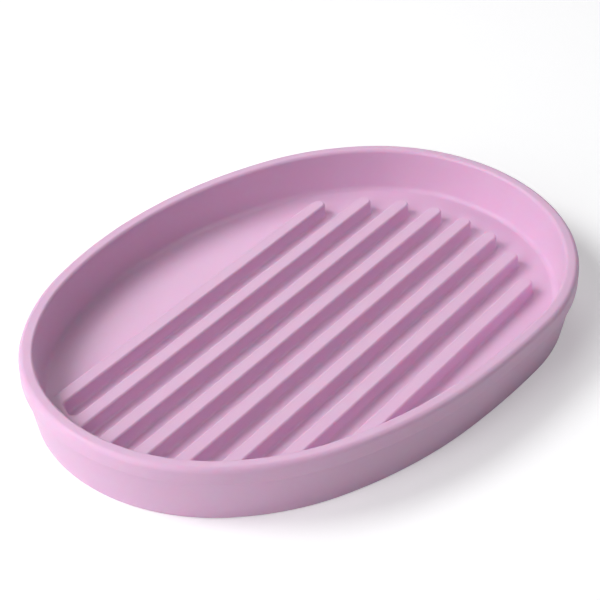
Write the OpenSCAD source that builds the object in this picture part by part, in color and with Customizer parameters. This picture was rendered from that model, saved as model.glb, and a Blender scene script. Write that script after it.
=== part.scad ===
// Oval soap saver dish with raised draining ribs, moulded in soft silicone.
// Lengths are millimetres and angles are degrees. The dish rests on Z = 0, its long axis is X,
// and its low end, where the ribs grow out of the wall, is at -X.

/* [Outline] */
// Length over the rim
dish_length = 132; // [124:1:144]
// Width over the rim
dish_width = 94.3; // [90:0.1:102]
// Height from the table to the top of the rim
dish_height = 14; // [13:0.5:20]
// Plan radius of the two ends of the oval, as a share of half the width
end_share = 0.862; // [0.81:0.002:0.91]
// Direction in which each end arc gives way to the shoulder arc
end_turn = 47.5; // [46:0.5:52]
// Direction in which the shoulder arc gives way to the long side
side_turn = 71.5; // [70:0.5:75]

/* [Full quarter] */
// Plan radius of the end of the fuller front right quarter, as a share of half the width
full_share = 0.965; // [0.94:0.005:0.98]
// Direction in which that quarter's end arc gives way to its shoulder arc
full_end_turn = 44; // [42:0.5:46]
// Direction in which its shoulder arc gives way to the long side
full_side_turn = 83; // [81:0.5:84]

/* [Rim] */
// Width of the rim across its flat top
rim_width = 3; // [2.9:0.1:4.4]
// Height of the band round the outside of the rim
rim_height = 3.9; // [3.4:0.1:5]
// Radius of the outer top edge
rim_outer_edge = 1.6; // [0.8:0.1:1.7]
// Radius of the inner top edge
rim_inner_edge = 1.2; // [0.5:0.1:1.3]
// Radius of the lower edge of the band
rim_lower_edge = 0.3; // [0.2:0.05:0.4]
// Depth of the step under the band
rim_step = 0.5; // [0.4:0.05:0.8]

/* [Wall] */
// Distance that the outer wall leans in from the step down to the table
wall_taper = 1.8; // [1.2:0.1:2.4]
// Distance that the inner wall leans in from the rim down to the floor
inner_taper = 1.1; // [0.6:0.1:1.5]
// Radius between the inner wall and the floor
floor_fillet = 1.3; // [0.8:0.1:1.6]

/* [Floor] */
// Thickness of the floor
floor_thickness = 2.9; // [2:0.1:3.2]
// Height of the ring that the dish stands on
foot_height = 1; // [0.9:0.1:1.3]
// Width of that ring where it meets the table
foot_width = 4.5; // [4:0.1:6]
// Radius of the outer bottom edge
foot_edge = 0.5; // [0.3:0.05:0.55]
// Radius of the inner bottom edge, and of the corner between the ring and the underside
foot_fillet = 0.4; // [0.2:0.05:0.4]

/* [Ribs] */
// Width of a rib across its top
rib_width = 3.2; // [2.8:0.1:3.6]
// Height of a rib above the floor
rib_height = 3.15; // [2.6:0.05:3.8]
// Lean of the rib sides for release from the mould
rib_draft = 2.5; // [1:0.5:4]
// Radius along the top edges of a rib
rib_edge = 0.5; // [0.3:0.05:0.6]
// Radius at the foot of a rib
rib_fillet = 0.6; // [0.4:0.1:0.8]

/* [Field] */
// Turn of the ribs away from the long axis
rib_angle = 7.1; // [5:0.1:9]
// Width left free at the back, from the outline to the middle of the first rib
back_gap = 24.25; // [22:0.05:27]
// Width left free at the front, from the outline to the middle of the last rib
front_gap = 14.75; // [13:0.05:17]
// Length left free at the right end, from the outline to the tips of the longest ribs
end_gap = 13.55; // [12:0.05:18]
// How much smaller the curve through the rib tips is than the end of the oval
tip_inset = 5.7; // [4:0.1:8]

/* [Ledge] */
// Distance from the outline of the rim to the inner face of the ledge
ledge_inset = 7.3; // [6.4:0.1:8]
// Radius of the groove corners against the ledge
ledge_corner = 1.3; // [0.8:0.1:1.8]

/* [Hidden] */

silicone = [0.87, 0.66, 0.83];
$fn = 96;
// Steps in each rounded corner of a section
arc_steps = 6;
// Overrun of cutting shapes past what they cut
over = 2;
// How far the corner circles cross the faces that they round
crossing = 0.05;
// Turn by which neighbouring arcs overlap in a cutting shape
cut_lap = 0.02;
// Grid of the coarse step of a placement
coarse_grid = 0.01;

half_length = dish_length / 2;
half_width = dish_width / 2;

// A quarter of the oval is three tangent arcs: its end, its shoulder and its side. The radii
// of the last two are what closes the quarter at the set length and width.
function quarter(end, turn, side) =
  let (
    gap_x = half_length - end * (1 - cos(turn)),
    gap_y = half_width - end * sin(turn),
    lean_x = cos(turn) - cos(side),
    lean_y = sin(side) - sin(turn),
    closing = lean_x * (1 - sin(side)) - lean_y * cos(side)
  )
  [
    end,
    (gap_x * (1 - sin(side)) - gap_y * cos(side)) / closing,
    (gap_y * lean_x - gap_x * lean_y) / closing
  ];
// Centres of those three arcs in the back right quarter
function quarter_centres(radii, turn) = [
  [half_length - radii[0], 0],
  [
    half_length - radii[0] - (radii[1] - radii[0]) * cos(turn),
    -(radii[1] - radii[0]) * sin(turn)
  ],
  [0, half_width - radii[2]]
];

// Three quarters of the oval are alike. The front right one is fuller.
like = quarter(end_share * half_width, end_turn, side_turn);
like_at = quarter_centres(like, end_turn);
full = quarter(full_share * half_width, full_end_turn, full_side_turn);
full_at = quarter_centres(full, full_end_turn);

// Each arc holds its centre, its radius, the direction where it starts and its turn.
right_end = [like_at[0].x, 0, like[0], 0, end_turn];
back_right = [like_at[1].x, like_at[1].y, like[1], end_turn, side_turn - end_turn];
back_side = [0, like_at[2].y, like[2], side_turn, 2 * (90 - side_turn)];
back_left = [-like_at[1].x, like_at[1].y, like[1], 180 - side_turn, side_turn - end_turn];
left_end = [-like_at[0].x, 0, like[0], 180 - end_turn, 2 * end_turn];
front_left = [-like_at[1].x, -like_at[1].y, like[1], 180 + end_turn, side_turn - end_turn];
front_side = [0, -like_at[2].y, like[2], 180 + side_turn, 90 - side_turn];
full_side = [0, -full_at[2].y, full[2], 270, 90 - full_side_turn];
full_shoulder = [
  full_at[1].x, -full_at[1].y, full[1], 360 - full_side_turn, full_side_turn - full_end_turn
];
full_end = [full_at[0].x, 0, full[0], 360 - full_end_turn, full_end_turn];
WHOLE_OVAL = [
  right_end, back_right, back_side, back_left, left_end,
  front_left, front_side, full_side, full_shoulder, full_end
];
// The arcs that the ledge runs along
LEDGE_ARCS = [left_end, front_left, front_side, full_side];

// Heights
floor_top = foot_height + floor_thickness;
rim_bottom = dish_height - rim_height;
rib_top = floor_top + rib_height;

// Leans of the two faces of the wall
outer_lean = atan2(wall_taper, rim_bottom);
inner_lean = atan2(inner_taper, dish_height - floor_top);

// Offsets from the outline, outwards positive
function outer_face(z) = -rim_step - (rim_bottom - z) * tan(outer_lean);
function inner_face(z) = -rim_width - (dish_height - z) * tan(inner_lean);
floor_edge = inner_face(floor_top + floor_fillet * (1 - sin(inner_lean)))
  - floor_fillet * cos(inner_lean);

// Points of an arc round a centre
function arc(centre, radius, from, to) = [
  for (i = [0:arc_steps])
    let (a = from + (to - from) * i / arc_steps)
      centre + radius * [cos(a), sin(a)]
];

// Moves what it holds in a coarse and a fine step, so that neighbouring arcs meet exactly
function coarse(v) = [for (x = v) round(x / coarse_grid) * coarse_grid];
module put(v) {
  translate(coarse(v))
    translate(v - coarse(v))
      children();
}

// Turns a section round the listed arcs. In the section X is the offset from the outline
// and Y is the height.
module follow(arcs, lap = 0) {
  for (a = arcs)
    put([a[0], a[1], 0])
      rotate_extrude(angle = a[4] + 2 * lap, start = a[3] - lap)
        put([a[2], 0])
          children();
}

// Fills the oval inside an offset from its outline: a band round the edge and a core
module oval_plate(edge, bottom, top) {
  band = like[0] / 3;
  follow(WHOLE_OVAL)
    translate([edge - band, bottom])
      square([band, top - bottom]);
  translate([0, 0, bottom])
    linear_extrude(top - bottom)
      polygon([
        for (a = WHOLE_OVAL)
          each arc([a[0], a[1]], a[2] + edge - band / 2, a[3], a[3] + a[4])
      ]);
}

// Places what it holds in the frame of the ribs, which run along its X
module rib_frame() {
  rotate([0, 0, rib_angle])
    translate([0, -field_shift, 0])
      children();
}

// Ribs are counted from the back of the dish, which is +Y
rib_count = 8;
rib_pitch = (dish_width - back_gap - front_gap) / (rib_count - 1);
field_shift = (back_gap - front_gap) / 2;
function rib_place(k) = ((rib_count + 1) / 2 - k) * rib_pitch;

// Side of a rib: half its width at a height above the floor
function rib_side(width, z) = width / 2 + (rib_height - z) * tan(rib_draft);
foot_reach = rib_fillet / cos(rib_draft);
edge_reach = rib_edge / cos(rib_draft);

// Right half of a rib's section, with its foot fillet and rounded top edge
function rib_half(width) = concat(
  arc([rib_side(width, rib_fillet) + foot_reach, rib_fillet], rib_fillet, 270, 180 + rib_draft),
  arc(
    [rib_side(width, rib_height - rib_edge) - edge_reach, rib_height - rib_edge],
    rib_edge, rib_draft, 90
  )
);
function mirrored(points) = [
  for (i = [len(points) - 1:-1:0]) [-points[i].x, points[i].y]
];

module rib_section(width) {
  polygon(concat(rib_half(width), mirrored(rib_half(width))));
}

// Bar of a rib's section that stands on the floor and ends at the origin
module rib_bar(width) {
  translate([-dish_length, 0, floor_top])
    rotate([90, 0, 90])
      linear_extrude(dish_length)
        rib_section(width);
}

// Centre of the round free end of a rib. The tips lie on one curve.
tip_curve = like[0] - tip_inset;
tip_centre = half_length - end_gap - tip_curve;
function tip_place(k) =
  tip_centre + sqrt(pow(tip_curve, 2) - pow(rib_place(k), 2)) - rib_width / 2;

module rib_tip() {
  translate([0, 0, floor_top])
    rotate_extrude(angle = 180, start = -90)
      polygon(concat([[0, 0]], rib_half(rib_width), [[0, rib_height]]));
}

// The ledge's own frame is that of the ribs. A plan point of the dish, seen in that frame:
function in_rib_frame(p) = [
  p.x * cos(rib_angle) + p.y * sin(rib_angle),
  p.y * cos(rib_angle) - p.x * sin(rib_angle) + field_shift
];
function arc_centre(a) = in_rib_frame([a[0], a[1]]);
// Lowest place across the ribs that an arc reaches at the ledge's inner face
function arc_floor(a) = in_rib_frame([
  a[0] + (a[2] - ledge_inset) * cos(a[3] + a[4]),
  a[1] + (a[2] - ledge_inset) * sin(a[3] + a[4])
]).y;
// The arc that the ledge follows at a place across the ribs
function ledge_arc(y) = [for (a = LEDGE_ARCS) if (arc_floor(a) <= y) a][0];
// Where a circle round an arc's centre crosses that place, on the ledge's side
function ledge_x(a, radius, y) =
  arc_centre(a).x - sqrt(pow(radius, 2) - pow(y - arc_centre(a).y, 2));

// Web that rounds the corner between the ledge and a rib side. The groove lies on the
// side of the rib that inward names: 1 towards +Y and -1 towards -Y.
module corner_web(side_y, inward) {
  middle_y = side_y + inward * ledge_corner;
  a = ledge_arc(middle_y);
  reach = a[2] - ledge_inset;
  middle = [ledge_x(a, reach - ledge_corner + crossing, middle_y), middle_y];
  away = (middle - arc_centre(a)) / norm(middle - arc_centre(a));
  // Where the ledge runs nearly along the rib, the web ends at the side of the rib.
  far = ledge_corner / max(1 / 2, -inward * away.y);
  back = ledge_x(a, reach, side_y) - ledge_corner;
  start = middle.x - sqrt(2 * ledge_corner * crossing);
  translate([0, 0, floor_top])
    linear_extrude(rib_height)
      difference() {
        polygon([
          [start, side_y - inward * rib_edge],
          [start, middle_y],
          middle,
          middle + away * far,
          [back, side_y],
          [back, side_y - inward * rib_edge]
        ]);
        translate(middle)
          circle(ledge_corner);
      }
}

// Webs of one rib. The outer sides of the first and the last rib have none.
module rib_webs(k) {
  if (k > 1) corner_web(rib_place(k) + rib_width / 2, 1);
  if (k < rib_count) corner_web(rib_place(k) - rib_width / 2, -1);
}

module dish_floor() {
  color(silicone)
    oval_plate(floor_edge, foot_height, floor_top);
}

module side_wall() {
  fillet_centre = [floor_edge, floor_top + floor_fillet];
  color(silicone)
    follow(WHOLE_OVAL)
      polygon(concat(
        [
          [floor_edge, foot_height],
          [outer_face(foot_height), foot_height],
          [outer_face(rim_bottom), rim_bottom],
          [inner_face(rim_bottom), rim_bottom]
        ],
        arc(fillet_centre, floor_fillet, 360 - inner_lean, 270)
      ));
}

module rim_lip() {
  inner_top = [
    inner_face(dish_height - rim_inner_edge) + rim_inner_edge / cos(inner_lean),
    dish_height - rim_inner_edge
  ];
  color(silicone)
    follow(WHOLE_OVAL)
      polygon(concat(
        [[inner_face(rim_bottom), rim_bottom]],
        arc([-rim_lower_edge, rim_bottom + rim_lower_edge], rim_lower_edge, 270, 360),
        arc([-rim_outer_edge, dish_height - rim_outer_edge], rim_outer_edge, 0, 90),
        arc(inner_top, rim_inner_edge, 90, 180 - inner_lean)
      ));
}

module foot_ring() {
  edge_tangent = foot_edge * tan((90 - outer_lean) / 2);
  edge_centre = [outer_face(0) - edge_tangent, foot_edge];
  inner_side = outer_face(0) - foot_width;
  color(silicone)
    follow(WHOLE_OVAL)
      polygon(concat(
        arc([inner_side - foot_fillet, foot_height - foot_fillet], foot_fillet, 90, 0),
        arc([inner_side + foot_fillet, foot_fillet], foot_fillet, 180, 270),
        arc(edge_centre, foot_edge, 270, 360 - outer_lean),
        [[outer_face(foot_height), foot_height]]
      ));
}

// Ledge at the height of the ribs, which closes the near ends of the grooves. The bar is as
// high as the ribs, and cuts the swept section level with them.
module rib_ledge() {
  field_width = (rib_count - 1) * rib_pitch + rib_width;
  color(silicone)
    union() {
      intersection() {
        rib_frame()
          rib_bar(field_width);
        follow(LEDGE_ARCS)
          polygon(concat(
            arc([floor_edge, floor_top + floor_fillet], floor_fillet, 270, 360 - inner_lean),
            [
              [inner_face(rib_top + over), rib_top + over],
              [-ledge_inset, rib_top + over],
              [-ledge_inset, floor_top]
            ]
          ));
      }
      rib_frame()
        for (k = [1:rib_count])
          rib_webs(k);
    }
}

// One rib, from the ledge to its round free end
module rib(k) {
  color(silicone)
    difference() {
      rib_frame()
        put([tip_place(k), rib_place(k), 0]) {
          rib_bar(rib_width);
          rib_tip();
        }
      follow(LEDGE_ARCS, cut_lap)
        translate([-ledge_inset, floor_top - over])
          square([half_length, rib_height + 2 * over]);
      rib_frame()
        rib_webs(k);
    }
}

dish_floor();
side_wall();
rim_lip();
foot_ring();
rib_ledge();
rib(1);  // rib_1
rib(2);  // rib_2
rib(3);  // rib_3
rib(4);  // rib_4
rib(5);  // rib_5
rib(6);  // rib_6
rib(7);  // rib_7
rib(8);  // rib_8
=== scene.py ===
"""Oval silicone soap saver pad, drawn as one continuous moulded skin over its CAD parts."""

from math import atan2, cos, pi, radians, sin, sqrt, tan

import bmesh
import bpy
from bpy.props import FloatProperty, FloatVectorProperty, PointerProperty
from bpy.types import Operator, Panel, PropertyGroup
from mathutils import Matrix, Vector


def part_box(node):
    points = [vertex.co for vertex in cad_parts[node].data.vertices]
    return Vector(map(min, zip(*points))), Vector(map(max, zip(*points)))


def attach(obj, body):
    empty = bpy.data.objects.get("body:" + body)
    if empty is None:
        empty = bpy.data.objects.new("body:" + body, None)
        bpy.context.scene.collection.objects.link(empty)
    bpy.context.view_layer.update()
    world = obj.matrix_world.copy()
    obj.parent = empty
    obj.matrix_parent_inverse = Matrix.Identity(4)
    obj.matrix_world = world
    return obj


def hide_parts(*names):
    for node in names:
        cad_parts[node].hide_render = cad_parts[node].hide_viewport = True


bl_info = {
    "name": "Soap Saver Pad",
    "version": (1, 0, 0),
    "blender": (4, 5, 0),
    "location": "3D View > Sidebar > Soap Pad",
    "description": "Builds an oval silicone soap dish with draining ribs, and its studio",
    "category": "Add Mesh",
}

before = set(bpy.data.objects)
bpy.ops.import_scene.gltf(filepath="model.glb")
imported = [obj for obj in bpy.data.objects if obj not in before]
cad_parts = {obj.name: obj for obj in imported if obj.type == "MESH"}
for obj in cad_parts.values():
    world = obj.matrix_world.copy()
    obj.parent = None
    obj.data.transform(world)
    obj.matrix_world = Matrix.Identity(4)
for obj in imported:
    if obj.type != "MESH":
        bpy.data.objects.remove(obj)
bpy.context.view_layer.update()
RIM_LOW, RIM_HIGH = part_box("rim_lip")
FLOOR_LOW, FLOOR_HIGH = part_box("dish_floor")
RIB_LOW, RIB_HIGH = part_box("rib_4")

MM = 0.001
RIB_COUNT = 8
WELD = 0.002 * MM
EDGE_SPACING = 1.1 * MM
JOIN_CLEARANCE = 0.004
LEDGE_BLEND = 0.12


def length(name, description, default):
    return FloatProperty(
        name=name, description=description, default=default, min=0.0, unit="LENGTH", precision=5
    )


def angle(name, description, default):
    return FloatProperty(
        name=name, description=description, default=radians(default), unit="ROTATION", precision=4
    )


def colour(name, description, default):
    return FloatVectorProperty(
        name=name, description=description, default=default, min=0.0, max=1.0, subtype="COLOR", size=3
    )


class SoapPadSizes(PropertyGroup):
    """Sizes of the dish. The outline, the floor and the ribs start from the CAD boxes."""

    length: length("Length", "Length over the rim", RIM_HIGH.x - RIM_LOW.x)
    width: length("Width", "Width over the rim", RIM_HIGH.y - RIM_LOW.y)
    height: length("Height", "Height of the top of the rim", RIM_HIGH.z)
    end_share: FloatProperty(
        name="End share", description="End radius as a share of half the width", default=0.862
    )
    end_turn: angle("End turn", "Direction where the end arc gives way to the shoulder arc", 47.5)
    side_turn: angle("Side turn", "Direction where the shoulder arc gives way to the side", 71.5)
    full_share: FloatProperty(
        name="Full share", description="End share of the fuller front right quarter", default=0.965
    )
    full_end_turn: angle("Full end turn", "End turn of the front right quarter", 44)
    full_side_turn: angle("Full side turn", "Side turn of the front right quarter", 83)

    rim_width: length("Rim width", "Width of the rim across its top", 3 * MM)
    rim_height: length("Rim height", "Height of the band outside the rim", RIM_HIGH.z - RIM_LOW.z)
    # The rim's two top edges are smaller than the CAD's, because the photo's rim looks flatter.
    rim_outer_edge: length("Rim outer edge", "Radius of the outer top edge", 1.2 * MM)
    rim_inner_edge: length("Rim inner edge", "Radius of the inner top edge", 0.8 * MM)
    rim_lower_edge: length("Rim lower edge", "Radius of the band's lower edge", 0.3 * MM)
    rim_step: length("Rim step", "Depth of the step under the band", 0.5 * MM)
    step_fillet: length("Step fillet", "Radius in the corner under the band", 0.2 * MM)

    wall_taper: length("Wall taper", "How far the outer wall leans in down to the table", 1.8 * MM)
    inner_taper: length("Inner taper", "How far the inner wall leans in down to the floor", 1.1 * MM)
    floor_fillet: length("Floor fillet", "Radius between the wall and the floor", 1.3 * MM)
    floor_top: length("Floor top", "Height of the floor's upper face", FLOOR_HIGH.z)
    foot_height: length("Foot height", "Height of the hollow under the floor", FLOOR_LOW.z)
    foot_width: length("Foot width", "Width of the ring under the wall", 4.5 * MM)
    foot_edge: length("Foot edge", "Radius of the outer bottom edge", 0.5 * MM)
    foot_fillet: length("Foot fillet", "Radii of the foot's inner edges", 0.4 * MM)

    rib_height: length("Rib height", "Height of the ribs over the floor", RIB_HIGH.z - RIB_LOW.z)
    rib_width: length("Rib width", "Width of a rib across its top", 3.2 * MM)
    rib_edge: length("Rib edge", "Radius of the ribs' top edges", 0.5 * MM)
    rib_fillet: length("Rib fillet", "Radius at the foot of the ribs", 0.6 * MM)
    rib_draft: angle("Rib draft", "Lean of the rib sides", 2.5)
    rib_angle: angle("Rib angle", "Turn of the ribs away from the long axis", 7.1)
    back_gap: length("Back gap", "From the outline at the back to the first rib", 24.25 * MM)
    front_gap: length("Front gap", "From the outline at the front to the last rib", 14.75 * MM)
    end_gap: length("End gap", "From the outline at the end to the longest ribs", 13.55 * MM)
    tip_inset: length("Tip inset", "How much tighter the tip curve is than the end", 5.7 * MM)
    ledge_inset: length("Ledge inset", "From the outline to the ledge's inner face", 7.3 * MM)
    groove_corner: length("Groove corner", "Plan radius of the grooves' near corners", 1.3 * MM)
    ledge_fillet: length("Ledge fillet", "Radius between the ledge and the wall", 0.7 * MM)


class SoapPadLooks(PropertyGroup):
    """Colour and finish of the silicone."""

    silicone: colour("Silicone", "Body colour of the silicone", (0.747, 0.489, 0.683))
    glow: FloatProperty(name="Glow", description="Share of light that scatters inside", default=1.0)
    glow_depth: length("Glow depth", "How deep light scatters inside", 0.35 * MM)
    roughness: FloatProperty(name="Roughness", description="Matt finish of the mould", default=0.42)


def rounded(corners, steps=7):
    """Points of a section with its corners rounded. A corner is (offset, height, radius)."""
    points = [Vector(corners[0][:2])]
    for before, corner, after in zip(corners, corners[1:], corners[2:]):
        here, radius = Vector(corner[:2]), corner[2]
        to_before = (Vector(before[:2]) - here).normalized()
        to_after = (Vector(after[:2]) - here).normalized()
        half = to_before.angle(to_after) / 2
        centre = here + (to_before + to_after).normalized() * radius / sin(half)
        start = here + to_before * radius / tan(half) - centre
        sweep = start.angle_signed(here + to_after * radius / tan(half) - centre)
        for i in range(steps + 1):
            points.append(centre + Matrix.Rotation(-sweep * i / steps, 2) @ start)
    points.append(Vector(corners[-1][:2]))
    return points


class Quarter:
    """Three tangent arcs that make a quarter of the oval: its end, its shoulder and its side."""

    def __init__(self, sizes, share, end_turn, side_turn):
        half_length, half_width = sizes.length / 2, sizes.width / 2
        end = share * half_width
        gap_x = half_length - end * (1 - cos(end_turn))
        gap_y = half_width - end * sin(end_turn)
        lean_x = cos(end_turn) - cos(side_turn)
        lean_y = sin(side_turn) - sin(end_turn)
        close_x, close_y = 1 - sin(side_turn), cos(side_turn)
        closing = lean_x * close_x - lean_y * close_y
        shoulder = (gap_x * close_x - gap_y * close_y) / closing
        side = (gap_y * lean_x - gap_x * lean_y) / closing
        end_x = half_length - end
        self.radii = (end, shoulder, side)
        self.centres = (
            (end_x, 0),
            (end_x - (shoulder - end) * cos(end_turn), (end - shoulder) * sin(end_turn)),
            (0, half_width - side),
        )
        self.turns = (0, end_turn, side_turn, pi / 2)

    def arcs(self, right, back):
        """The arcs, counter-clockwise, in the quarter that the two signs name."""
        found = []
        for radius, (x, y), start, end in zip(self.radii, self.centres, self.turns, self.turns[1:]):
            low = {(1, 1): start, (-1, 1): pi - end, (-1, -1): pi + start, (1, -1): 2 * pi - end}
            found.append((Vector((right * x, back * y)), radius, low[right, back], end - start))
        return found if right == back else found[::-1]


class Outline:
    """The oval: three quarters alike and a fuller one. An arc is (centre, radius, start, turn)."""

    def __init__(self, sizes):
        like = Quarter(sizes, sizes.end_share, sizes.end_turn, sizes.side_turn)
        full = Quarter(sizes, sizes.full_share, sizes.full_end_turn, sizes.full_side_turn)
        self.end_radius = like.radii[0]
        self.arcs = like.arcs(1, 1) + like.arcs(-1, 1) + like.arcs(-1, -1) + full.arcs(1, -1)

    def at(self, direction):
        """Point of the outline, and its outward normal, where the normal has that direction."""
        for centre, radius, start, turn in self.arcs:
            past = (direction - start) % (2 * pi)
            if past <= turn + 1e-9:
                out = Vector((cos(direction), sin(direction)))
                return centre + out * radius, out
        raise ValueError(f"no arc holds the direction {direction}")

    def directions(self, spacing):
        """Directions, once round the oval, whose points lie about that far apart."""
        found = []
        for _, radius, start, turn in self.arcs:
            count = max(2, round(radius * turn / spacing))
            found += [start + turn * i / count for i in range(count)]
        return found


def circle_meets_oval(outline, turned, side_y, inset, radius):
    """Circle that touches a line along the ribs from above and the inset oval from inside.

    side_y places the line in the frame of the ribs, and radius is negative for a circle below
    the line. Returns the circle's centre in that frame and the direction where it meets the oval.
    """
    level = side_y + radius
    for centre, arc_radius, start, turn in outline.arcs:
        middle = turned @ centre.to_3d()
        reach = arc_radius - inset - abs(radius)
        drop = level - middle.y
        if abs(drop) > reach:
            continue
        spot = Vector((middle.x - sqrt(reach**2 - drop**2), level))
        out = turned.inverted().to_3x3() @ (spot.to_3d() - middle)
        direction = atan2(out.y, out.x)
        if (direction - start) % (2 * pi) <= turn:
            return spot, direction % (2 * pi)
    raise ValueError(f"the line at {side_y} doesn't meet the oval")


def comb_path(sizes, outline, wall_directions):
    """Edge of the floor in plan: round every rib, along the ledge and back along the wall."""
    pitch = (sizes.width - sizes.back_gap - sizes.front_gap) / (RIB_COUNT - 1)
    shift = (sizes.back_gap - sizes.front_gap) / 2
    tip_curve = outline.end_radius - sizes.tip_inset
    tip_centre = sizes.length / 2 - sizes.end_gap - tip_curve
    turned = Matrix.Translation((0, shift, 0)) @ Matrix.Rotation(-sizes.rib_angle, 4, "Z")
    back = turned.inverted()
    half = sizes.rib_width / 2
    wall_inset = inner_face(sizes, sizes.floor_top + sizes.rib_height)
    corner = sizes.groove_corner
    path = []

    def add(spot, into, wall_share=0.0):
        place = back @ Vector((spot[0], spot[1], 0))
        facing = back.to_3x3() @ Vector((into[0], into[1], 0))
        path.append((place, facing.normalized(), wall_share))

    def swing(centre, radius, start, turn, steps, shares=None):
        """Arc of the path. Its normals point to its centre where the radius is positive."""
        for i in range(steps + 1):
            a = start + turn * i / steps
            out = Vector((cos(a), sin(a)))
            share = 0.0 if shares is None else shares(i / steps)
            add(centre + out * abs(radius), -out if radius > 0 else out, share)

    def in_ribs(direction):
        return direction - sizes.rib_angle

    def run(y, x_from, x_to, into):
        for i in range(1, 12):
            add((x_from + (x_to - x_from) * i / 12, y), (0, into))

    places = [((RIB_COUNT + 1) / 2 - k) * pitch for k in range(1, RIB_COUNT + 1)]
    first_spot, first = circle_meets_oval(outline, turned, places[0] + half, wall_inset, corner)
    last_spot, last = circle_meets_oval(outline, turned, places[-1] - half, wall_inset, -corner)

    def ease(t):
        return t * t * (3 - 2 * t)

    swing(first_spot, corner, in_ribs(first), 1.5 * pi - in_ribs(first), 12, lambda t: ease(1 - t))
    start_x = first_spot.x
    for k, y in enumerate(places):
        tip_x = tip_centre + sqrt(tip_curve**2 - y**2) - half
        run(y + half, start_x, tip_x, 1)
        swing(Vector((tip_x, y)), -half, pi / 2, -pi, 24)
        if k == RIB_COUNT - 1:
            break
        upper, upper_meets = circle_meets_oval(outline, turned, y - half, sizes.ledge_inset, -corner)
        lower_side = places[k + 1] + half
        lower, lower_meets = circle_meets_oval(outline, turned, lower_side, sizes.ledge_inset, corner)
        run(y - half, tip_x, upper.x, -1)
        swing(upper, corner, pi / 2, in_ribs(upper_meets) - pi / 2, 8)
        for i in range(1, 4):
            place, out = outline.at(upper_meets + (lower_meets - upper_meets) * i / 4)
            place = place - out * sizes.ledge_inset
            path.append((place.to_3d(), -out.to_3d(), 0.0))
        swing(lower, corner, in_ribs(lower_meets), 1.5 * pi - in_ribs(lower_meets), 8)
        start_x = lower.x
    run(places[-1] - half, tip_x, last_spot.x, -1)
    swing(last_spot, corner, pi / 2, in_ribs(last) - pi / 2, 12, ease)
    for direction in wall_directions(last, first):
        place, out = outline.at(direction)
        path.append(((place - out * wall_inset).to_3d(), -out.to_3d(), 1.0))
    return path, first, last


def inner_face(sizes, height):
    """Inset of the inner wall from the outline at a height."""
    share = (sizes.height - height) / (sizes.height - sizes.floor_top)
    return sizes.rim_width + sizes.inner_taper * share


def outer_face(sizes, height):
    """Inset of the outer wall from the outline at a height under the band."""
    band_bottom = sizes.height - sizes.rim_height
    return sizes.rim_step + sizes.wall_taper * (band_bottom - height) / band_bottom


def foot_sections(sizes):
    """Sections of the edge of the floor: along the ribs and ledge, and along the wall.

    An offset is measured from the path into the open floor, and both end on the floor.
    """
    height, draft = sizes.rib_height, tan(sizes.rib_draft)
    lean = sizes.inner_taper / (sizes.height - sizes.floor_top)
    along_rib = rounded([
        (-2 * sizes.rib_edge, height, 0),
        (0, height, sizes.rib_edge),
        (height * draft, 0, sizes.rib_fillet),
        (height * draft + 2 * sizes.rib_fillet, 0, 0),
    ])[1:-1]
    foot = rounded([
        (0, height, 0),
        (height * lean, 0, sizes.floor_fillet),
        (height * lean + 2 * sizes.floor_fillet, 0, 0),
    ])[1:-1]
    along_wall = [Vector(((height - p.y) * lean, p.y)) for p in along_rib[: len(along_rib) // 2]]
    return along_rib, along_wall + foot


def skin_sections(sizes):
    """Sections from the ledge over the rim to the underside: over the open floor, and the ledge."""
    rib_top = sizes.floor_top + sizes.rib_height
    band_bottom = sizes.height - sizes.rim_height
    fillet_top = rib_top + sizes.ledge_fillet
    foot_inner = outer_face(sizes, 0) + sizes.foot_width
    over_rim = rounded([
        (-inner_face(sizes, fillet_top), fillet_top, 0),
        (-inner_face(sizes, sizes.height), sizes.height, sizes.rim_inner_edge),
        (0, sizes.height, sizes.rim_outer_edge),
        (0, band_bottom, sizes.rim_lower_edge),
        (-outer_face(sizes, band_bottom), band_bottom, sizes.step_fillet),
        (-outer_face(sizes, 0), 0, sizes.foot_edge),
        (-foot_inner, 0, sizes.foot_fillet),
        (-foot_inner, sizes.foot_height, sizes.foot_fillet),
        (-foot_inner - 2 * sizes.foot_fillet, sizes.foot_height, 0),
    ])
    inset = inner_face(sizes, rib_top)
    fillet = rounded([
        (-inset - 2 * sizes.ledge_fillet, rib_top, 0),
        (-inset, rib_top, sizes.ledge_fillet),
        (-inner_face(sizes, fillet_top), fillet_top, 0),
    ])[1:-1]
    straight = []
    for i in range(len(fillet)):
        z = rib_top + (fillet_top - rib_top) * i / len(fillet)
        straight.append(Vector((-inner_face(sizes, z), z)))
    return straight + over_rim, fillet + over_rim


def loop_object(name, path):
    """Closed loop of edges that carries each point's place, normal and share of its far section."""
    mesh = bpy.data.meshes.new(name)
    count = len(path)
    mesh.from_pydata([p for p, _, _ in path], [(i, (i + 1) % count) for i in range(count)], [])
    place = mesh.attributes.new("place", "FLOAT_VECTOR", "POINT")
    place.data.foreach_set("vector", [x for p, _, _ in path for x in p])
    out = mesh.attributes.new("out", "FLOAT_VECTOR", "POINT")
    out.data.foreach_set("vector", [x for _, n, _ in path for x in n])
    share = mesh.attributes.new("share", "FLOAT", "POINT")
    share.data.foreach_set("value", [s for _, _, s in path])
    loop = bpy.data.objects.new(name, mesh)
    bpy.context.scene.collection.objects.link(loop)
    return loop


def section_object(name, near, far):
    """Open line of edges that carries the two sections that the sweep mixes."""
    mesh = bpy.data.meshes.new(name)
    mesh.from_pydata([p.to_3d() for p in near], [(i, i + 1) for i in range(len(near) - 1)], [])
    for attribute, points in (("near", near), ("far", far)):
        data = mesh.attributes.new(attribute, "FLOAT_VECTOR", "POINT").data
        data.foreach_set("vector", [x for p in points for x in p.to_3d()])
    section = bpy.data.objects.new(name, mesh)
    bpy.context.scene.collection.objects.link(section)
    return section


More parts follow.
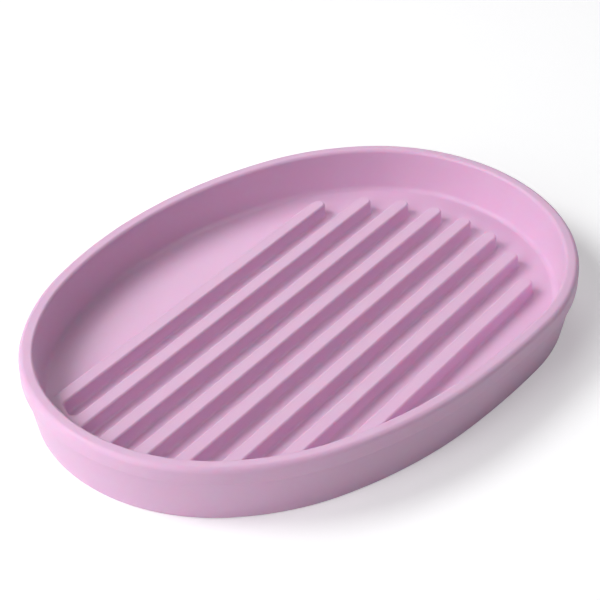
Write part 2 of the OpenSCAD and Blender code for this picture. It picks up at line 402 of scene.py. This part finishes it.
class Nodes:
    """Adds nodes to a tree. A value may be a number, a vector or another node's output."""

    def __init__(self, tree):
        self.tree = tree

    def __call__(self, kind, settings=None, values=None, output=0):
        node = self.tree.nodes.new(kind)
        for name, value in (settings or {}).items():
            if name == "stops":
                self.set_stops(node.color_ramp, value)
            else:
                setattr(node, name, value)
        for key, value in (values or {}).items():
            socket = node.inputs[key]
            if isinstance(value, Term):
                self.tree.links.new(value.socket, socket)
            else:
                socket.default_value = value
        return Term(self, node.outputs[output]) if len(node.outputs) else node

    @staticmethod
    def set_stops(ramp, stops):
        while len(ramp.elements) < len(stops):
            ramp.elements.new(1.0)
        for element, (position, value) in zip(ramp.elements, stops):
            element.position = position
            element.color = (*value, 1.0)


class Term:
    """One output socket, with the sums that the trees use."""

    def __init__(self, nodes, socket):
        self.nodes = nodes
        self.socket = socket

    def maths(self, operation, *values):
        numbered = dict(enumerate(values))
        return self.nodes("ShaderNodeMath", {"operation": operation}, numbered)

    def __add__(self, other):
        return self.maths("ADD", self, other)

    def __radd__(self, other):
        return self.maths("ADD", other, self)

    def __sub__(self, other):
        return self.maths("SUBTRACT", self, other)

    def __rsub__(self, other):
        return self.maths("SUBTRACT", other, self)

    def __mul__(self, other):
        return self.maths("MULTIPLY", self, other)

    def __rmul__(self, other):
        return self.maths("MULTIPLY", other, self)


def sweep_tree():
    """Geometry Nodes tree that sweeps a pair of sections round a closed loop of edges."""
    tree = bpy.data.node_groups.new("Section sweep", "GeometryNodeTree")
    for name, kind in (
        ("Loop", "NodeSocketGeometry"),
        ("Section", "NodeSocketObject"),
        ("Base height", "NodeSocketFloat"),
        ("Material", "NodeSocketMaterial"),
    ):
        tree.interface.new_socket(name, in_out="INPUT", socket_type=kind)
    tree.interface.new_socket("Skin", in_out="OUTPUT", socket_type="NodeSocketGeometry")
    nodes = Nodes(tree)
    loop = nodes("NodeGroupInput", output="Loop")
    inputs = loop.socket.node.outputs
    section_in = Term(nodes, inputs["Section"])
    base_height = Term(nodes, inputs["Base height"])
    material = Term(nodes, inputs["Material"])

    def named(name, kind="FLOAT_VECTOR"):
        return nodes("GeometryNodeInputNamedAttribute", {"data_type": kind}, {"Name": name})

    def vector(operation, a, b):
        return nodes("ShaderNodeVectorMath", {"operation": operation}, {0: a, 1: b})

    section = nodes("GeometryNodeObjectInfo", {}, {"Object": section_in}, output="Geometry")
    skin = nodes("GeometryNodeCurveToMesh", {}, {
        "Curve": nodes("GeometryNodeMeshToCurve", {}, {"Mesh": loop}),
        "Profile Curve": nodes("GeometryNodeMeshToCurve", {}, {"Mesh": section}),
    })
    mixed = nodes(
        "ShaderNodeMix",
        {"data_type": "VECTOR"},
        {0: named("share", "FLOAT"), 4: named("near"), 5: named("far")},
        output=1,
    )
    parts = nodes("ShaderNodeSeparateXYZ", {}, {0: mixed})
    height = Term(nodes, parts.socket.node.outputs["Y"]) + base_height
    lift = nodes("ShaderNodeCombineXYZ", {}, {"Z": height})
    scaled = nodes(
        "ShaderNodeVectorMath", {"operation": "SCALE"}, {0: named("out"), "Scale": parts}
    )
    place = vector("ADD", vector("ADD", named("place"), scaled), lift)
    placed = nodes("GeometryNodeSetPosition", {}, {"Geometry": skin, "Position": place})
    dressed = nodes("GeometryNodeSetMaterial", {}, {"Geometry": placed, "Material": material})
    real = nodes("GeometryNodeRealizeInstances", {}, {"Geometry": dressed})
    nodes("NodeGroupOutput", {}, {"Skin": real})
    return tree


def swept(tree, path, near, far, base_height, material):
    """Mesh of the sections swept round the path."""
    loop = loop_object("sweep_path", path)
    section = section_object("sweep_section", near, far)
    modifier = loop.modifiers.new("Sweep", "NODES")
    modifier.node_group = tree
    for socket in tree.interface.items_tree:
        if socket.in_out == "INPUT" and socket.name != "Loop":
            value = {"Section": section, "Base height": base_height, "Material": material}[socket.name]
            modifier[socket.identifier] = value
    loop.update_tag()
    evaluated = loop.evaluated_get(bpy.context.evaluated_depsgraph_get())
    mesh = bpy.data.meshes.new_from_object(evaluated)
    bpy.data.objects.remove(loop)
    bpy.data.objects.remove(section)
    return mesh


def silicone(looks):
    """Satin silicone: it scatters light inside, and carries the mould's fine spark-eroded grain."""
    material = bpy.data.materials.new("silicone")
    material.use_nodes = True
    tree = material.node_tree
    tree.nodes.clear()
    nodes = Nodes(tree)
    where = nodes("ShaderNodeTexCoord", output="Object")

    def noise(scale, detail):
        return nodes(
            "ShaderNodeTexNoise", {"noise_dimensions": "3D"},
            {"Vector": where, "Scale": scale, "Detail": detail, "Roughness": 0.55},
        )

    grain, cloud, smear = noise(2600, 2.0), noise(45, 3.0), noise(140, 4.0)
    darker = [0.965 * c for c in looks.silicone]
    lighter = [min(1, 1.03 * c) for c in looks.silicone]
    tone = nodes(
        "ShaderNodeMix",
        {"data_type": "RGBA", "blend_type": "MIX"},
        {0: cloud, 6: (*darker, 1), 7: (*lighter, 1)},
        output=2,
    )
    bump = nodes("ShaderNodeBump", {}, {"Strength": 0.16, "Distance": 0.00004, "Height": grain})
    skin = nodes("ShaderNodeBsdfPrincipled", {"subsurface_method": "RANDOM_WALK"}, {
        "Base Color": tone,
        "Roughness": looks.roughness + 0.10 * smear - 0.05,
        "IOR": 1.41,
        "Subsurface Weight": looks.glow,
        "Subsurface Radius": (1.0, 0.42, 0.55),
        "Subsurface Scale": looks.glow_depth,
        "Normal": bump,
    })
    nodes("ShaderNodeOutputMaterial", {}, {"Surface": skin})
    return material


class SOAPPAD_OT_skin(Operator):
    """Build the whole silicone moulding as one closed skin"""

    bl_idname = "soap_pad.skin"
    bl_label = "Silicone pad"

    def execute(self, context):
        sizes, looks = context.scene.soap_pad_sizes, context.scene.soap_pad_looks
        outline = Outline(sizes)
        round_trip = outline.directions(spacing=EDGE_SPACING)
        tree, material = sweep_tree(), silicone(looks)

        def wall_directions(last, first):
            """Directions of the open wall, counter-clockwise, without its two ends."""
            span = (first - last) % (2 * pi)
            shifted = [(d - last) % (2 * pi) for d in round_trip]
            return [last + s for s in sorted(shifted) if JOIN_CLEARANCE < s < span - JOIN_CLEARANCE]

        comb, first, last = comb_path(sizes, outline, wall_directions)
        open_wall = wall_directions(last, first)
        ledge_wall = wall_directions(first, last)
        ring = []
        for direction in [last, *open_wall, first]:
            ring.append((direction, 0.0))
        span = (last - first) % (2 * pi)
        for direction in ledge_wall:
            past = (direction - first) % (2 * pi)
            edge = min(past, span - past) / LEDGE_BLEND
            ring.append((direction, min(1.0, edge)))
        rim = []
        for direction, share in ring:
            place, out = outline.at(direction)
            rim.append((place.to_3d(), out.to_3d(), share))
        meshes = [
            swept(tree, comb, *foot_sections(sizes), sizes.floor_top, material),
            swept(tree, rim, *skin_sections(sizes), 0.0, material),
        ]
        pad = self.close(meshes, material)
        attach(pad, "root")
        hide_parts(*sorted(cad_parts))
        return {"FINISHED"}

    @staticmethod
    def close(meshes, material):
        """Joins the swept skins, caps the floor, the rib tops and the underside, and shades them."""
        skin = bmesh.new()
        for mesh in meshes:
            skin.from_mesh(mesh)
        bmesh.ops.remove_doubles(skin, verts=skin.verts, dist=WELD)
        open_edges = [e for e in skin.edges if e.is_boundary]
        bmesh.ops.holes_fill(skin, edges=open_edges, sides=0)
        bmesh.ops.recalc_face_normals(skin, faces=skin.faces)
        if any(not e.is_manifold for e in skin.edges):
            raise RuntimeError("the skin has open edges")
        mesh = bpy.data.meshes.new("silicone_pad")
        skin.to_mesh(mesh)
        skin.free()
        for attribute in ("place", "out", "share", "near", "far"):
            if attribute in mesh.attributes:
                mesh.attributes.remove(mesh.attributes[attribute])
        mesh.materials.clear()
        mesh.materials.append(material)
        mesh.polygons.foreach_set("use_smooth", [True] * len(mesh.polygons))
        mesh.polygons.foreach_set("material_index", [0] * len(mesh.polygons))
        pad = bpy.data.objects.new("silicone_pad", mesh)
        bpy.context.scene.collection.objects.link(pad)
        weighted = pad.modifiers.new("Flat faces lead", "WEIGHTED_NORMAL")
        weighted.weight = 100
        weighted.keep_sharp = True
        return pad


def toward(azimuth, elevation):
    """Direction from the dish. Azimuth 0 is the front, -Y, and it grows towards +X. Degrees."""
    around, up = radians(azimuth), radians(elevation)
    return Vector((sin(around) * cos(up), -cos(around) * cos(up), sin(up)))


class SOAPPAD_OT_stage(Operator):
    """Lay the pale floor, hang the soft lamps and set the camera"""

    bl_idname = "soap_pad.stage"
    bl_label = "Studio"

    def execute(self, context):
        self.floor()
        self.lamps()
        self.camera(context.scene)
        context.scene.view_settings.view_transform = "Standard"
        return {"FINISHED"}

    @staticmethod
    def floor():
        mesh = bpy.data.meshes.new("floor")
        half = 2.0
        paper_colour, camera_only_light = (0.88, 0.88, 0.89, 1), 0.23
        corners = [(-half, -half, 0), (half, -half, 0), (half, half, 0), (-half, half, 0)]
        mesh.from_pydata(corners, [], [(0, 1, 2, 3)])
        floor = bpy.data.objects.new("floor", mesh)
        bpy.context.scene.collection.objects.link(floor)
        material = bpy.data.materials.new("paper")
        material.use_nodes = True
        tree = material.node_tree
        tree.nodes.clear()
        nodes = Nodes(tree)
        paper = nodes("ShaderNodeBsdfDiffuse", {}, {"Color": paper_colour})
        seen = nodes("ShaderNodeLightPath", output="Is Camera Ray")
        strength = seen * camera_only_light
        lift = nodes("ShaderNodeEmission", {}, {"Color": (1, 1, 1, 1), "Strength": strength})
        both = nodes("ShaderNodeAddShader", {}, {0: paper, 1: lift})
        nodes("ShaderNodeOutputMaterial", {}, {"Surface": both})
        mesh.materials.append(material)

    @staticmethod
    def lamps():
        world = bpy.data.worlds.new("studio")
        bpy.context.scene.world = world
        world.use_nodes = True
        tree = world.node_tree
        tree.nodes.clear()
        nodes = Nodes(tree)
        seen = nodes("ShaderNodeLightPath", output="Is Camera Ray")
        room = nodes("ShaderNodeBackground", {}, {"Color": (1, 1, 1, 1), "Strength": seen})
        nodes("ShaderNodeOutputWorld", {}, {"Surface": room})
        lamp_width, lamp_distance = 0.45, 0.9
        for name, azimuth, elevation, power in (
            ("left", -137.4, 45, 5.2),
            ("front_left_low", -92.4, 20, 2.2),
            ("front_left_high", -92.4, 45, 2.1),
            ("right", 42.6, 45, 1.6),
            ("behind", 132.6, 45, 1.5),
        ):
            data = bpy.data.lights.new(name, "AREA")
            data.shape = "DISK"
            data.size = lamp_width
            data.energy = power
            lamp = bpy.data.objects.new(name, data)
            lamp.location = toward(azimuth, elevation) * lamp_distance
            lamp.rotation_euler = (-lamp.location).to_track_quat("-Z", "Y").to_euler()
            bpy.context.scene.collection.objects.link(lamp)

    @staticmethod
    def camera(scene):
        """Camera of the photo, 600 pixels wide. The centre values shift it sideways, in pixels."""
        image, focal, centre_x, centre_y = 600, 1736.9, 5.361, 38.917
        distance = 373.99 * MM
        back = toward(-47.432, 35.184)
        right = (-back).cross(Vector((0, 0, 1))).normalized()
        up = back.cross(right)
        data = bpy.data.cameras.new("camera")
        data.sensor_width = 36
        data.lens = focal * data.sensor_width / image
        data.clip_start = 0.01
        camera = bpy.data.objects.new("camera", data)
        turn = Matrix((right, up, back)).transposed().to_4x4()
        pixel = distance / focal
        place = back * distance - right * centre_x * pixel + up * centre_y * pixel
        camera.matrix_world = Matrix.Translation(place) @ turn
        scene.collection.objects.link(camera)
        scene.camera = camera


class SOAPPAD_PT_panel(Panel):
    """Sizes, looks and build steps of the soap pad"""

    bl_idname = "SOAPPAD_PT_panel"
    bl_label = "Soap Pad"
    bl_space_type = "VIEW_3D"
    bl_region_type = "UI"
    bl_category = "Soap Pad"

    def draw(self, context):
        for step in STEPS:
            self.layout.operator(step.bl_idname)
        for group in (context.scene.soap_pad_sizes, context.scene.soap_pad_looks):
            box = self.layout.box()
            for name in group.__annotations__:
                box.prop(group, name)


STEPS = (SOAPPAD_OT_skin, SOAPPAD_OT_stage)
CLASSES = (SoapPadSizes, SoapPadLooks, *STEPS, SOAPPAD_PT_panel)


def register():
    for cls in CLASSES:
        bpy.utils.register_class(cls)
    bpy.types.Scene.soap_pad_sizes = PointerProperty(type=SoapPadSizes)
    bpy.types.Scene.soap_pad_looks = PointerProperty(type=SoapPadLooks)


def unregister():
    del bpy.types.Scene.soap_pad_looks
    del bpy.types.Scene.soap_pad_sizes
    for cls in reversed(CLASSES):
        bpy.utils.unregister_class(cls)


def main():
    register()
    bpy.ops.soap_pad.skin()
    bpy.ops.soap_pad.stage()


if __name__ == "__main__":
    main()
